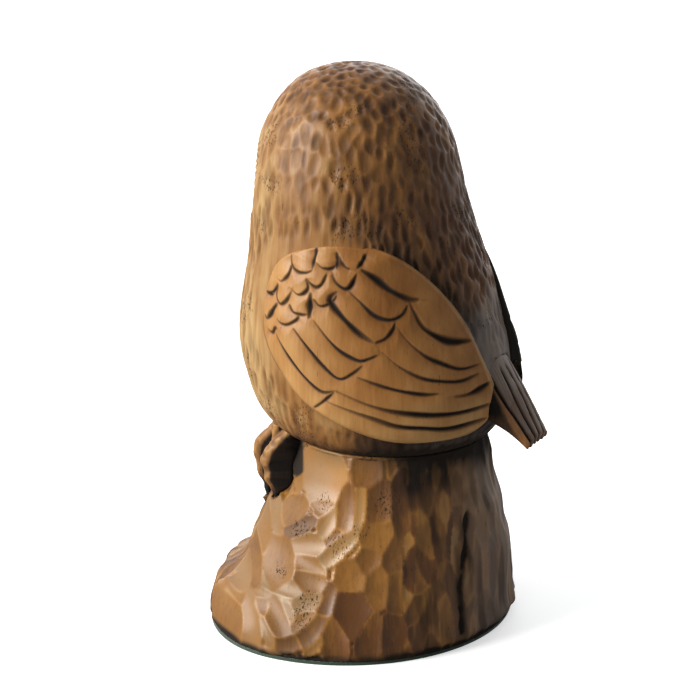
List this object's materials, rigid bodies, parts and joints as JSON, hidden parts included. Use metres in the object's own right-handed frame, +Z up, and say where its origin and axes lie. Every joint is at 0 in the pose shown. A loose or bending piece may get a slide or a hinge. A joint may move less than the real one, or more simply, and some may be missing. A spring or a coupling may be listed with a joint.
{
  "type": "owl figurine",
  "caption": "Carved-wood style owl perched on a rough tree stump, with relief-cut folded wings, gripping toes, a short fanned tail and a felt-covered foot.",
  "frame": {"origin": "on the resting face of the felt pad, where the middle plane crosses the stump's widest line", "axes": "+Z up, the owl faces -Y and its left side is +X"},
  "size_m": [0.125, 0.1228, 0.2],
  "materials": {
    "stump_wood": "satin varnish over gouged facets, darkened in the cuts",
    "felt": "short-pile felt",
    "body_wood": "satin varnish over small gouge marks, antiqued",
    "wing_wood": "smooth satin varnish with dark V-cuts",
    "tail_wood": "satin varnish, antiqued",
    "toe_wood": "satin varnish, dark between the toes",
    "beak_wood": "dark stain, satin varnish",
    "eye_glass": "polished glass over an amber iris and a black pupil",
    "dowel_wood": "bare beech"
  },
  "bodies": {
    "root": {"stump": "stump_wood", "felt_pad": "felt", "body": "body_wood", "left_wing": "wing_wood", "right_wing": "wing_wood", "tail": "tail_wood", "left_foot": "toe_wood", "right_foot": "toe_wood", "beak": "beak_wood", "left_eye": "eye_glass", "right_eye": "eye_glass", "body_dowels": "dowel_wood"}
  },
  "joints": []
}
